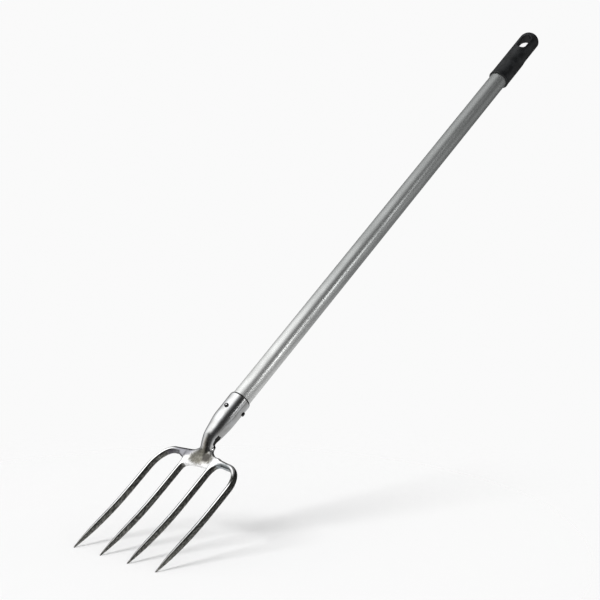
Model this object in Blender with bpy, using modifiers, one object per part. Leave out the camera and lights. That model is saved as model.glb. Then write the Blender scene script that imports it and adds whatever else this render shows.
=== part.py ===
"""Four-tine digging and weeding fork on a long tubular handle.

Metres, +Z up along the handle, tine tips at z = 0.
+X runs across the tines, -Y is the front, the side that the tines curve towards.
"""

import math

import bmesh
import bpy
from mathutils import Matrix, Vector

# Clearance between pieces that touch on the real tool.
FIT_GAP = 0.0003
# How far a cutter reaches past the surface that it opens.
CUT_OVER = 0.004
# Points nearer to each other than this are one point.
WELD_DISTANCE = 0.00001
# Edges that turn more than this stay sharp in the shading.
SHARP_EDGE_DEGREES = 35.0

# Handle tube.
TUBE_DIAMETER = 0.028
TUBE_WALL = 0.0015
TUBE_SHOWN = 0.730
TUBE_IN_SOCKET = 0.042
TUBE_IN_GRIP = 0.030
TUBE_SIDES = 40

# Head, measured from the tine tips up.
HEAD_HEIGHT = 0.295
HEAD_SET_BACK = 0.0134
SOCKET_WALL = 0.0021
SOCKET_SIDES = 32
SOCKET_FLOOR = 0.0045
SOCKET_TAPER = 0.0006
SOCKET_STRAIGHT = 0.043

# Tines.
TINE_SPACING = 0.058
TINE_WIDTH = 0.0053
TINE_DEPTH = 0.0098
TINE_POINT = 0.0013
TINE_TAPER_LENGTH = 0.110
TINE_TAPER_POWER = 4.0
TINE_BEND_HEIGHT = 0.088
TINE_BEND_SOFTNESS = 0.030
TINE_BEND_SLOPE = 0.118
TINE_EDGE_CUT = 0.0012
TINE_STATIONS = 16
TINE_STATION_CROWDING = 1.7
LARGEST_EDGE_CUT = 0.45

# Web, the plate that joins the tines.
WEB_THICKNESS = 0.0084
WEB_HEIGHT = 0.0158
WEB_SINK = 0.0004
INNER_TINE_SUNK = 0.007
# Corners of the web's outline: beyond the neck's side, over the shoulders' root.
WEB_TO_NECK = ((0.0, 0.0100), (0.0026, 0.0074), (0.0070, 0.0052), (0.0160, 0.0024))
# Beyond an inner tine's outer side, over the shoulders' root.
WEB_TO_SHOULDER = (
    (0.0060, -0.0010),
    (0.0180, -0.0062),
    (0.0120, -0.0098),
    (0.0067, -0.0120),
    (0.0027, -0.0172),
    (0.0, -0.0260),
)
WEB_FOOT = 0.0290
# In from an inner tine's inner side, below the top of the middle gap.
WEB_TO_GAP = ((0.0, 0.0105), (0.0022, 0.0045), (0.0077, 0.0010))
WEB_CURVE_STEPS = 3

# Neck, from the socket down into the web.
NECK_WAIST_WIDTH = 0.0196
# Share of the neck's height, share of the set-back, width over the waist's, half depth.
NECK_SECTIONS = (
    (0.743, 0.05, 0.0040, 0.0140),
    (0.584, 0.06, 0.0024, 0.0127),
    (0.425, 0.09, 0.0008, 0.0110),
    (0.283, 0.30, 0.0000, 0.0092),
    (0.159, 0.58, 0.0012, 0.0078),
    (0.053, 0.80, 0.0052, 0.0062),
    (-0.062, 0.92, 0.0108, 0.0046),
    (-0.195, 1.00, 0.0146, 0.0038),
)

# Shoulders, from the web out to the outer tines. The photographed left one stands higher.
SHOULDER_ROOT_HEIGHT = 0.1955
SHOULDER_ROOT = 0.0137
SHOULDER_CORNER_HEIGHT = 0.0370
# Name, side, rise of the shoulder's root, droop from there out, and the corner's width.
SHOULDERS = (
    ("left", -1.0, 0.0030, 0.0012, 0.0262),
    ("right", 1.0, 0.0, 0.0082, 0.0292),
)
SHOULDER_BAR_HEIGHT = 0.0086
SHOULDER_STATIONS = 5
CORNER_STATIONS = 8

# Hollow forged in each side of the neck, behind its front face.
HOLLOW_SHARE_UP = 0.38
HOLLOW_FRONT = 0.0002
HOLLOW_RADIUS_ACROSS = 0.0062
HOLLOW_RADIUS_DEEP = 0.0080
HOLLOW_RADIUS_HIGH = 0.0115
HOLLOW_SPREAD = 0.0112
HOLLOW_SIDES = 24
HOLLOW_RINGS = 14

# Blind rivets: name, turn from the front towards +X, drop below the socket mouth.
RIVETS = (
    ("front", 14.0, 0.026),
    ("side", 129.0, 0.0175),
    ("rear", 254.0, 0.0218),
)
RIVET_SHANK_DIAMETER = 0.0040
RIVET_HEAD_DIAMETER = 0.0066
RIVET_HEAD_HEIGHT = 0.0017
RIVET_BULB_DIAMETER = 0.0052
RIVET_BULB_LENGTH = 0.0030
MANDREL_DIAMETER = 0.0018
MANDREL_BALL_DIAMETER = 0.0034
MANDREL_SUNK = 0.0004
# Shares of the rivet head's radius and height, from its crown to its rim.
RIVET_CROWN = ((0.55, 0.92), (0.85, 0.62), (1.0, 0.15))
RIVET_BULB_TAPER = 0.9
MANDREL_BALL_SHARES = ((1.0, 0.0), (0.8, 0.7), (0.0, 1.0))
RIVET_SIDES = 16

# Plug inside the foot of the tube.
PLUG_LENGTH = 0.036
PLUG_EDGE = 0.0012

# Grip sleeve.
GRIP_LENGTH = 0.118
GRIP_WALL = 0.0022
GRIP_RIM_FLARE = 0.0006
GRIP_RIM_LENGTH = 0.008
# Share of the rim's flare and length where its curve is steepest.
GRIP_RIM_KNEE = 0.4
GRIP_DOME_HEIGHT = 0.0175
GRIP_DOME_STEPS = 8
GRIP_TURN = 24.5
GRIP_BACK_FLAT = 0.0030
GRIP_FLAT_LENGTH = 0.058
GRIP_RAMP_LENGTH = 0.034
GRIP_SIDES = 48

# Hanging slot, from the round front out to the flat back.
SLOT_BELOW_TOP = 0.032
SLOT_FRONT_WIDTH = 0.0140
SLOT_FRONT_LENGTH = 0.0310
SLOT_BACK_WIDTH = 0.0205
SLOT_BACK_LENGTH = 0.0325
SLOT_ARC_STEPS = 10

TUBE_RADIUS = TUBE_DIAMETER / 2
TUBE_BORE_RADIUS = TUBE_RADIUS - TUBE_WALL
SOCKET_BORE_RADIUS = TUBE_RADIUS + FIT_GAP
SOCKET_RADIUS = SOCKET_BORE_RADIUS + SOCKET_WALL
NECK_SPAN = HEAD_HEIGHT - SOCKET_STRAIGHT - SHOULDER_ROOT_HEIGHT
TUBE_FOOT = HEAD_HEIGHT - TUBE_IN_SOCKET
GRIP_FOOT = HEAD_HEIGHT + TUBE_SHOWN
TUBE_TOP = GRIP_FOOT + TUBE_IN_GRIP
GRIP_TOP = GRIP_FOOT + GRIP_LENGTH
GRIP_BORE_RADIUS = TUBE_RADIUS + FIT_GAP
GRIP_RADIUS = GRIP_BORE_RADIUS + GRIP_WALL


def clear_scene():
    for old in list(bpy.data.objects):
        bpy.data.objects.remove(old, do_unlink=True)


def new_collection(name):
    collection = bpy.data.collections.new(name)
    bpy.context.scene.collection.children.link(collection)
    return collection


def material(name, colour, roughness, metallic):
    made = bpy.data.materials.new(name)
    made.use_nodes = True
    shader = made.node_tree.nodes["Principled BSDF"]
    shader.inputs["Base Color"].default_value = (*colour, 1.0)
    shader.inputs["Roughness"].default_value = roughness
    shader.inputs["Metallic"].default_value = metallic
    return made


def object_from_bmesh(name, bm, collection):
    bmesh.ops.recalc_face_normals(bm, faces=bm.faces)
    mesh = bpy.data.meshes.new(name)
    bm.to_mesh(mesh)
    bm.free()
    made = bpy.data.objects.new(name, mesh)
    collection.objects.link(made)
    return made


def shade(made, finish):
    made.data.materials.clear()
    made.data.materials.append(finish)
    made.data.shade_smooth()
    made.data.set_sharp_from_angle(angle=math.radians(SHARP_EDGE_DEGREES))


def mark_cutter(made):
    made.hide_render = True
    made.display_type = "WIRE"
    return made


def boolean(target, other, operation):
    step = target.modifiers.new(operation.title() + "_" + other.name, "BOOLEAN")
    step.operation = operation
    step.solver = "EXACT"
    step.object = other


def loft(name, rings, collection):
    """A closed skin through rings that all have the same number of points."""
    bm = bmesh.new()
    loops = [[bm.verts.new(point) for point in ring] for ring in rings]
    count = len(rings[0])
    for lower, upper in zip(loops, loops[1:]):
        for index in range(count):
            following = (index + 1) % count
            bm.faces.new((lower[index], lower[following], upper[following], upper[index]))
    bm.faces.new(loops[0])
    bm.faces.new(loops[-1])
    return object_from_bmesh(name, bm, collection)


def turned(name, profile, sides, collection):
    """A closed profile of (radius, height) points, run round the Z axis."""
    bm = bmesh.new()
    points = [bm.verts.new((radius, 0.0, height)) for radius, height in profile]
    for index in range(len(points)):
        bm.edges.new((points[index], points[(index + 1) % len(points)]))
    mesh = bpy.data.meshes.new(name)
    bm.to_mesh(mesh)
    bm.free()
    made = bpy.data.objects.new(name, mesh)
    collection.objects.link(made)
    screw = made.modifiers.new("Turn", "SCREW")
    screw.axis = "Z"
    screw.steps = sides
    screw.render_steps = sides
    screw.use_merge_vertices = True
    screw.merge_threshold = WELD_DISTANCE
    screw.use_normal_calculate = False
    return made


def oval_ring(centre_y, height, half_width, half_depth, sides):
    points = []
    for index in range(sides):
        angle = 2 * math.pi * index / sides
        points.append(
            Vector((half_width * math.sin(angle), centre_y - half_depth * math.cos(angle), height))
        )
    return points


def bar_ring(centre, across, half_width, half_depth, edge_cut):
    """A rectangle with cut corners, standing square to a path in the XZ plane."""
    cut = min(edge_cut, half_width * LARGEST_EDGE_CUT, half_depth * LARGEST_EDGE_CUT)
    deep = Vector((0.0, 1.0, 0.0))
    corners = (
        (half_width - cut, -half_depth),
        (half_width, -half_depth + cut),
        (half_width, half_depth - cut),
        (half_width - cut, half_depth),
        (-half_width + cut, half_depth),
        (-half_width, half_depth - cut),
        (-half_width, -half_depth + cut),
        (-half_width + cut, -half_depth),
    )
    return [centre + across * side + deep * back for side, back in corners]


def tine_centre_y(height):
    """The tines run straight down, then lean forward below the bend."""
    below = TINE_BEND_HEIGHT - height
    lean = (below + math.hypot(below, TINE_BEND_SOFTNESS)) / 2
    return HEAD_SET_BACK - TINE_BEND_SLOPE * lean


def tine_size(height):
    """Share of the full section that is left at a height above the tip."""
    if height >= TINE_TAPER_LENGTH:
        return 1.0
    share = 1.0 - (1.0 - height / TINE_TAPER_LENGTH) ** TINE_TAPER_POWER
    return max(TINE_POINT / TINE_WIDTH, share)


def tine_heights(top):
    """Heights from the top of a tine to its tip, closer together near the tip."""
    heights = []
    for step in range(TINE_STATIONS + 1):
        heights.append(top * (1.0 - step / TINE_STATIONS) ** TINE_STATION_CROWDING)
    return heights


def tine_rings(x, top):
    rings = []
    for height in tine_heights(top):
        share = tine_size(height)
        centre = Vector((x, tine_centre_y(height), height))
        across = Vector((1.0, 0.0, 0.0))
        rings.append(
            bar_ring(centre, across, TINE_WIDTH / 2 * share, TINE_DEPTH / 2 * share, TINE_EDGE_CUT)
        )
    return rings


def shoulder_rings(side, rise, droop, corner_width):
    """From inside the web, out along the shoulder and round the corner to the outer tine."""
    outer_x = 1.5 * TINE_SPACING
    corner_x = outer_x - corner_width
    root_z = SHOULDER_ROOT_HEIGHT + rise
    corner_z = root_z - droop - SHOULDER_CORNER_HEIGHT
    lean = math.atan2(droop, corner_x - SHOULDER_ROOT)
    rings = []
    for step in range(SHOULDER_STATIONS):
        along = step / SHOULDER_STATIONS
        x = SHOULDER_ROOT + (corner_x - SHOULDER_ROOT) * along
        z = root_z - droop * along
        across = Vector((side * math.sin(lean), 0.0, math.cos(lean)))
        centre = Vector((side * x, HEAD_SET_BACK, z))
        rings.append(
            bar_ring(centre, across, SHOULDER_BAR_HEIGHT / 2, TINE_DEPTH / 2, TINE_EDGE_CUT)
        )
    for step in range(CORNER_STATIONS + 1):
        along = step / CORNER_STATIONS
        turn = lean + (math.pi / 2 - lean) * along
        x = corner_x + corner_width * math.sin(math.pi / 2 * along)
        z = corner_z + SHOULDER_CORNER_HEIGHT * math.cos(math.pi / 2 * along)
        across = Vector((side * math.sin(turn), 0.0, math.cos(turn)))
        half_width = (SHOULDER_BAR_HEIGHT + (TINE_WIDTH - SHOULDER_BAR_HEIGHT) * along) / 2
        centre = Vector((side * x, tine_centre_y(z), z))
        rings.append(bar_ring(centre, across, half_width, TINE_DEPTH / 2, TINE_EDGE_CUT))
    for height in tine_heights(corner_z)[1:]:
        share = tine_size(height)
        centre = Vector((side * outer_x, tine_centre_y(height), height))
        across = Vector((side, 0.0, 0.0))
        rings.append(
            bar_ring(centre, across, TINE_WIDTH / 2 * share, TINE_DEPTH / 2 * share, TINE_EDGE_CUT)
        )
    return rings


def neck_rings():
    """From the socket mouth down the tapering socket and the swan neck into the web."""
    low = SOCKET_RADIUS - SOCKET_TAPER
    rings = [
        oval_ring(0.0, HEAD_HEIGHT, SOCKET_RADIUS, SOCKET_RADIUS, SOCKET_SIDES),
        oval_ring(0.0, HEAD_HEIGHT - SOCKET_STRAIGHT, low, low, SOCKET_SIDES),
    ]
    for up, share, spread, half_depth in NECK_SECTIONS:
        half_width = NECK_WAIST_WIDTH / 2 + spread
        height = SHOULDER_ROOT_HEIGHT + NECK_SPAN * up
        rings.append(oval_ring(HEAD_SET_BACK * share, height, half_width, half_depth, SOCKET_SIDES))
    return rings


def socket_bore(cutters):
    """The blind bore that takes the tube, with a coned floor."""
    foot = TUBE_FOOT - FIT_GAP
    profile = (
        (0.0, HEAD_HEIGHT + CUT_OVER),
        (SOCKET_BORE_RADIUS, HEAD_HEIGHT + CUT_OVER),
        (SOCKET_BORE_RADIUS, foot),
        (SOCKET_BORE_RADIUS - SOCKET_WALL, foot - FIT_GAP),
        (0.0, foot - SOCKET_FLOOR),
    )
    bore = turned("socket_bore_cut", profile, TUBE_SIDES, cutters)
    return mark_cutter(bore)


def web_plate(collection):
    """The web's front outline, drawn flat, extruded and stood up."""
    inner = TINE_SPACING / 2 - TINE_WIDTH / 2 + WEB_SINK
    outer = TINE_SPACING / 2 + TINE_WIDTH / 2 - WEB_SINK
    gap_top = SHOULDER_ROOT_HEIGHT - WEB_HEIGHT
    neck = NECK_WAIST_WIDTH / 2 - WEB_SINK
    root = SHOULDER_ROOT_HEIGHT
    halves = {}
    for name, side, rise, droop, corner_width in SHOULDERS:
        half = [(neck + beyond, root + rise + up) for beyond, up in WEB_TO_NECK]
        half += [(outer + beyond, root + rise + up) for beyond, up in WEB_TO_SHOULDER]
        half.append((TINE_SPACING / 2, root - WEB_FOOT))
        half += [(inner - inward, gap_top - drop) for inward, drop in WEB_TO_GAP]
        half.append((inner / 3, gap_top))
        halves[name] = [(side * x, z) for x, z in half]
    points = halves["right"] + halves["left"][::-1]
    curve = bpy.data.curves.new("web_outline", "CURVE")
    curve.dimensions = "2D"
    curve.fill_mode = "BOTH"
    curve.extrude = WEB_THICKNESS / 2
    curve.resolution_u = WEB_CURVE_STEPS
    spline = curve.splines.new("BEZIER")
    spline.bezier_points.add(len(points) - 1)
    for bezier, (x, z) in zip(spline.bezier_points, points):
        bezier.co = (x, z, 0.0)
        bezier.handle_left_type = "AUTO"
        bezier.handle_right_type = "AUTO"
    spline.use_cyclic_u = True
    outline = bpy.data.objects.new("web_outline", curve)
    collection.objects.link(outline)
    outline.matrix_world = Matrix.Translation((0.0, HEAD_SET_BACK, 0.0)) @ Matrix.Rotation(
        math.radians(90.0), 4, "X"
    )
    return mesh_from_curve(outline, "web_plate", collection)


def mesh_from_curve(curve_object, name, collection):
    bpy.context.view_layer.update()
    evaluated = curve_object.evaluated_get(bpy.context.evaluated_depsgraph_get())
    mesh = bpy.data.meshes.new_from_object(evaluated)
    bm = bmesh.new()
    bm.from_mesh(mesh)
    bmesh.ops.remove_doubles(bm, verts=bm.verts, dist=WELD_DISTANCE)
    bmesh.ops.recalc_face_normals(bm, faces=bm.faces)
    bm.to_mesh(mesh)
    bm.free()
    made = bpy.data.objects.new(name, mesh)
    collection.objects.link(made)
    made.matrix_world = curve_object.matrix_world
    bpy.data.objects.remove(curve_object, do_unlink=True)
    return made


def ellipsoid(name, centre, radii, collection):
    bm = bmesh.new()
    bmesh.ops.create_uvsphere(bm, u_segments=HOLLOW_SIDES, v_segments=HOLLOW_RINGS, radius=1.0)
    bmesh.ops.scale(bm, vec=radii, verts=bm.verts)
    bmesh.ops.translate(bm, vec=centre, verts=bm.verts)
    return mark_cutter(object_from_bmesh(name, bm, collection))


def rivet_frame(turn_degrees, drop):
    """Local +Z points out along the rivet, from the tool's own axis."""
    turn = math.radians(turn_degrees)
    outward = Vector((math.sin(turn), -math.cos(turn), 0.0))
    rotation = outward.to_track_quat("Z", "Y").to_matrix().to_4x4()
    return Matrix.Translation((0.0, 0.0, HEAD_HEIGHT - drop)) @ rotation


def cross_bore(name, frame, radius, start, end, cutters):
    bm = bmesh.new()
    bmesh.ops.create_cone(
        bm,
        cap_ends=True,
        segments=RIVET_SIDES,
        radius1=radius,
        radius2=radius,
        depth=end - start,
        matrix=frame @ Matrix.Translation((0.0, 0.0, (start + end) / 2)),
    )
    return mark_cutter(object_from_bmesh(name, bm, cutters))


def cut_rivet_holes(target, cutters, radius, start, end):
    for name, turn, drop in RIVETS:
        cutter_name = target.name + "_" + name + "_hole"
        frame = rivet_frame(turn, drop)
        boolean(target, cross_bore(cutter_name, frame, radius, start, end, cutters), "DIFFERENCE")


def build_fork_head(parts, cutters, finish):
    head = loft("fork_head", neck_rings(), parts)
    pieces = [web_plate(cutters)]
    for name, side, rise, droop, corner_width in SHOULDERS:
        outer = shoulder_rings(side, rise, droop, corner_width)
        pieces.append(loft(name + "_shoulder", outer, cutters))
        inner = tine_rings(side * TINE_SPACING / 2, SHOULDER_ROOT_HEIGHT - INNER_TINE_SUNK)
        pieces.append(loft(name + "_inner_tine", inner, cutters))
    for piece in pieces:
        boolean(head, mark_cutter(piece), "UNION")
    height = SHOULDER_ROOT_HEIGHT + NECK_SPAN * HOLLOW_SHARE_UP
    for name, side, rise, droop, corner_width in SHOULDERS:
        centre = (side * HOLLOW_SPREAD, HOLLOW_FRONT + HOLLOW_RADIUS_DEEP, height)
        radii = (HOLLOW_RADIUS_ACROSS, HOLLOW_RADIUS_DEEP, HOLLOW_RADIUS_HIGH)
        boolean(head, ellipsoid(name + "_hollow_cut", centre, radii, cutters), "DIFFERENCE")
    boolean(head, socket_bore(cutters), "DIFFERENCE")
    hole_radius = RIVET_SHANK_DIAMETER / 2 + FIT_GAP
    cut_rivet_holes(head, cutters, hole_radius, TUBE_RADIUS / 2, SOCKET_RADIUS + CUT_OVER)
    shade(head, finish)
    return head


def build_shaft_tube(parts, cutters, finish):
    profile = (
        (TUBE_RADIUS, TUBE_TOP),
        (TUBE_RADIUS, TUBE_FOOT),
        (TUBE_BORE_RADIUS, TUBE_FOOT),
        (TUBE_BORE_RADIUS, TUBE_TOP),
    )
    tube = turned("shaft_tube", profile, TUBE_SIDES, parts)
    hole_radius = RIVET_SHANK_DIAMETER / 2 + FIT_GAP
    cut_rivet_holes(tube, cutters, hole_radius, TUBE_RADIUS / 2, TUBE_RADIUS + CUT_OVER)
    shade(tube, finish)
    return tube


def build_shaft_plug(parts, cutters, finish):
    radius = TUBE_BORE_RADIUS - FIT_GAP
    top = TUBE_FOOT + PLUG_LENGTH
    profile = (
        (0.0, top),
        (radius - PLUG_EDGE, top),
        (radius, top - PLUG_EDGE),
        (radius, TUBE_FOOT + PLUG_EDGE),
        (radius - PLUG_EDGE, TUBE_FOOT),
        (0.0, TUBE_FOOT),
    )
    plug = turned("shaft_plug", profile, TUBE_SIDES, parts)
    pocket_radius = RIVET_BULB_DIAMETER / 2 + FIT_GAP
    cut_rivet_holes(plug, cutters, pocket_radius, rivet_inner_end() - FIT_GAP, TUBE_RADIUS)
    shade(plug, finish)
    return plug


def rivet_bulb_face():
    """Where the bulb starts, clear of the tube's curved inner wall."""
    bulb_radius = RIVET_BULB_DIAMETER / 2
    return math.sqrt(TUBE_BORE_RADIUS ** 2 - bulb_radius ** 2) - FIT_GAP


def rivet_inner_end():
    """The innermost reach of a set rivet with its mandrel ball."""
    return rivet_bulb_face() - RIVET_BULB_LENGTH - MANDREL_BALL_DIAMETER / 2 - FIT_GAP


def build_rivet(name, turn, drop, parts, finish):
    seat = SOCKET_RADIUS + FIT_GAP
    shank = RIVET_SHANK_DIAMETER / 2
    head = RIVET_HEAD_DIAMETER / 2
    bulb = RIVET_BULB_DIAMETER / 2
    bore = MANDREL_DIAMETER / 2 + FIT_GAP
    bulb_face = rivet_bulb_face()
    bulb_end = bulb_face - RIVET_BULB_LENGTH
    profile = [(bore, seat + RIVET_HEAD_HEIGHT)]
    for across, up in RIVET_CROWN:
        profile.append((head * across, seat + RIVET_HEAD_HEIGHT * up))
    profile += [
        (head, seat),
        (shank, seat),
        (shank, bulb_face),
        (bulb, bulb_face),
        (bulb * RIVET_BULB_TAPER, bulb_end),
        (bore, bulb_end),
    ]
    rivet = turned(name + "_rivet", profile, RIVET_SIDES, parts)
    rivet.matrix_world = rivet_frame(turn, drop)
    shade(rivet, finish)
    return rivet


def build_mandrel(name, turn, drop, parts, finish):
    outer_end = SOCKET_RADIUS + FIT_GAP + RIVET_HEAD_HEIGHT - MANDREL_SUNK
    bulb_end = rivet_bulb_face() - RIVET_BULB_LENGTH
    pin = MANDREL_DIAMETER / 2
    ball = MANDREL_BALL_DIAMETER / 2
    ball_top = bulb_end - FIT_GAP
    profile = [(0.0, outer_end), (pin, outer_end), (pin, ball_top)]
    for across, down in MANDREL_BALL_SHARES:
        profile.append((ball * across, ball_top - ball * down))
    mandrel = turned(name + "_mandrel", profile, RIVET_SIDES, parts)
    mandrel.matrix_world = rivet_frame(turn, drop)
    shade(mandrel, finish)
    return mandrel


def grip_profile():
    """Down the outside from the dome, round the rim and up the bore."""
    dome_start = GRIP_TOP - GRIP_DOME_HEIGHT
    profile = []
    for step in range(GRIP_DOME_STEPS + 1):
        turn = math.pi / 2 * step / GRIP_DOME_STEPS
        height = dome_start + GRIP_DOME_HEIGHT * math.cos(turn)
        profile.append((GRIP_RADIUS * math.sin(turn), height))
    profile += [
        (GRIP_RADIUS, GRIP_FOOT + GRIP_RIM_LENGTH),
        (GRIP_RADIUS + GRIP_RIM_FLARE * GRIP_RIM_KNEE, GRIP_FOOT + GRIP_RIM_LENGTH * GRIP_RIM_KNEE),
        (GRIP_RADIUS + GRIP_RIM_FLARE, GRIP_FOOT + GRIP_RIM_FLARE),
        (GRIP_RADIUS, GRIP_FOOT),
        (GRIP_BORE_RADIUS, GRIP_FOOT),
        (GRIP_BORE_RADIUS, TUBE_TOP + FIT_GAP),
        (0.0, TUBE_TOP + FIT_GAP),
    ]
    return profile


def turned_with_grip(points):
    turn = Matrix.Rotation(math.radians(GRIP_TURN), 3, "Z")
    return [turn @ Vector(point) for point in points]


def grip_flat_cut(cutters):
    """Takes the back off the domed end, with a sloping step at its foot."""
    foot = GRIP_TOP - GRIP_FLAT_LENGTH
    top = GRIP_TOP + CUT_OVER
    reach = GRIP_RADIUS + CUT_OVER
    ramp_foot = foot - GRIP_RAMP_LENGTH
    side_outline = ((GRIP_BACK_FLAT, top), (GRIP_BACK_FLAT, foot), (reach, ramp_foot), (reach, top))
    rings = []
    for x in (-reach, reach):
        rings.append(turned_with_grip([(x, y, z) for y, z in side_outline]))
    return mark_cutter(loft("grip_back_cut", rings, cutters))


def slot_ring(width, length, y):
    """A round-ended outline that stands at one depth in the grip."""
    radius = width / 2
    straight = length / 2 - radius
    centre_z = GRIP_TOP - SLOT_BELOW_TOP
    outline = []
    for end in (1.0, -1.0):
        for step in range(SLOT_ARC_STEPS + 1):
            turn = math.pi * step / SLOT_ARC_STEPS
            x = end * radius * math.cos(turn)
            z = end * (straight + radius * math.sin(turn))
            outline.append((x, y, centre_z + z))
    return turned_with_grip(outline)


def slot_cut(cutters):
    """The hanging slot, which widens evenly from the front to the back."""
    front = -GRIP_RADIUS
    back = GRIP_BACK_FLAT
    rings = []
    for y in (front - CUT_OVER, back + CUT_OVER):
        share = (y - front) / (back - front)
        width = SLOT_FRONT_WIDTH + (SLOT_BACK_WIDTH - SLOT_FRONT_WIDTH) * share
        length = SLOT_FRONT_LENGTH + (SLOT_BACK_LENGTH - SLOT_FRONT_LENGTH) * share
        rings.append(slot_ring(width, length, y))
    return mark_cutter(loft("hanging_slot_cut", rings, cutters))


def build_end_grip(parts, cutters, finish):
    grip = turned("end_grip", grip_profile(), GRIP_SIDES, parts)
    boolean(grip, grip_flat_cut(cutters), "DIFFERENCE")
    boolean(grip, slot_cut(cutters), "DIFFERENCE")
    shade(grip, finish)
    return grip


def main():
    clear_scene()
    parts = new_collection("long_handled_fork")
    cutters = new_collection("cutters")
    steel = material("brushed_steel", (0.62, 0.61, 0.59), 0.24, 1.0)
    aluminium = material("satin_aluminium", (0.60, 0.61, 0.61), 0.32, 1.0)
    black_plastic = material("black_plastic", (0.012, 0.013, 0.014), 0.36, 0.0)
    plug_plastic = material("plug_plastic", (0.05, 0.05, 0.05), 0.60, 0.0)
    rivet_steel = material("rivet_steel", (0.050, 0.050, 0.050), 0.30, 1.0)
    mandrel_steel = material("mandrel_steel", (0.78, 0.78, 0.78), 0.16, 1.0)

    build_fork_head(parts, cutters, steel)
    build_shaft_tube(parts, cutters, aluminium)
    build_shaft_plug(parts, cutters, plug_plastic)
    for name, turn, drop in RIVETS:
        build_rivet(name, turn, drop, parts, rivet_steel)
        build_mandrel(name, turn, drop, parts, mandrel_steel)
    build_end_grip(parts, cutters, black_plastic)


main()
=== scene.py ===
"""Looks of the long-handled four-tine fork: fine surfaces, finishes, floor, light and camera."""

import math

import bmesh
import bpy
from mathutils import Matrix, Vector


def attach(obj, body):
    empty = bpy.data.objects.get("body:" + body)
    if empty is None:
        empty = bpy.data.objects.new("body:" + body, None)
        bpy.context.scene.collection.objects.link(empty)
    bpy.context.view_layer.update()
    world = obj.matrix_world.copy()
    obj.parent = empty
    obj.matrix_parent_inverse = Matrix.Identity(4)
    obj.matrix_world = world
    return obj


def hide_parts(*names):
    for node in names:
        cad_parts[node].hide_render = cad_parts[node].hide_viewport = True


# Sizes in metres that the solids have too. Tips at z = 0, +X across the tines, -Y the front.
# Clearance between pieces that touch on the real tool, and how far a cutter reaches past them.
FIT_GAP = 0.0003
CUT_OVER = 0.004
TUBE_DIAMETER = 0.028
TUBE_WALL = 0.0015
TUBE_SHOWN = 0.730
TUBE_IN_SOCKET = 0.042
TUBE_IN_GRIP = 0.030
HEAD_HEIGHT = 0.295
HEAD_SET_BACK = 0.0134
SOCKET_WALL = 0.0021
SOCKET_FLOOR = 0.0045
SOCKET_TAPER = 0.0006
SOCKET_STRAIGHT = 0.043
TINE_SPACING = 0.058
# From the middle of the head to the middle of an outer tine.
OUTER_TINE_X = 1.5 * TINE_SPACING
TINE_WIDTH = 0.0053
TINE_DEPTH = 0.0098
TINE_TAPER_LENGTH = 0.110
TINE_BEND_HEIGHT = 0.088
TINE_BEND_SOFTNESS = 0.030
TINE_BEND_SLOPE = 0.118
WEB_HEIGHT = 0.0158
WEB_SINK = 0.0004
SHOULDER_ROOT_HEIGHT = 0.1955
SHOULDER_ROOT = 0.0137
SHOULDER_CORNER_HEIGHT = 0.0370
SHOULDER_BAR_HEIGHT = 0.0086
NECK_WAIST_WIDTH = 0.0196
GRIP_LENGTH = 0.118
GRIP_WALL = 0.0022
GRIP_RIM_FLARE = 0.0006
GRIP_RIM_LENGTH = 0.008
# Share of the rim's flare that is reached at the same share of its length.
GRIP_RIM_KNEE = 0.4
GRIP_DOME_HEIGHT = 0.0175
# Degrees that the grip is turned on the tube.
GRIP_TURN = 24.5
GRIP_BACK_FLAT = 0.0030
GRIP_FLAT_LENGTH = 0.058
GRIP_RAMP_LENGTH = 0.034
SLOT_BELOW_TOP = 0.032
# Width and length of the slot at the grip's front and at its back.
SLOT_FRONT = (0.0140, 0.0310)
SLOT_BACK = (0.0205, 0.0325)
# Name, degrees from the front towards +X, and distance below the socket's mouth.
RIVETS = (
    ("front", 14.0, 0.026),
    ("side", 129.0, 0.0175),
    ("rear", 254.0, 0.0218),
)
RIVET_SHANK_DIAMETER = 0.0040
RIVET_HEAD_DIAMETER = 0.0066
MANDREL_DIAMETER = 0.0018
# Corners of the web's outline, beyond the neck's side and over the shoulders' root.
WEB_TO_NECK = ((0.0, 0.0100), (0.0026, 0.0074), (0.0070, 0.0052), (0.0160, 0.0024))
# Beyond an inner tine's outer side, over the shoulders' root.
WEB_TO_SHOULDER = (
    (0.0060, -0.0010),
    (0.0180, -0.0062),
    (0.0120, -0.0098),
    (0.0067, -0.0120),
    (0.0027, -0.0172),
    (0.0, -0.0260),
)
WEB_FOOT = 0.0290
# In from an inner tine's inner side, below the top of the middle gap.
WEB_TO_GAP = ((0.0, 0.0105), (0.0022, 0.0045), (0.0077, 0.0010))

# Sizes in metres of the finely modelled surfaces. Some of the solids' sizes differ from them.
TINE_POINT = 0.0012
TINE_TAPER_POWER = 4.2
WEB_THICKNESS = 0.0076
RIVET_HEAD_HEIGHT = 0.0016
# How far the inner tines run into the shoulders, and how they widen towards them.
INNER_TINE_INTO_SHOULDER = 0.001
ROOT_FLARE = 0.0050
ROOT_FLARE_FROM = 0.164
# A name, the side of the head, the rise of the shoulder's root, its droop from there, the
# corner's width, and how far its upper and its lower front edge are rounded.
SHOULDERS = (
    ("left", -1.0, 0.0042, 0.0014, 0.0262, 0.0056, 0.0028),
    ("right", 1.0, 0.0, 0.0082, 0.0292, 0.0038, 0.0046),
)
# Radii of the bars' edges, across the bar and front to back.
BAR_EDGES = (0.0018, 0.0018)
SHOULDER_UPPER_EDGE_DEPTH = 0.0034
SHOULDER_LOWER_EDGE_DEPTH = 0.0056
# The neck's two side hollows.
HOLLOW_SHARE_UP = 0.43
HOLLOW_FRONT = 0.0012
HOLLOW_RADIUS_ACROSS = 0.0062
HOLLOW_RADIUS_DEEP = 0.0050
HOLLOW_RADIUS_HIGH = 0.0100
HOLLOW_SPREAD = 0.0140
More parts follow.
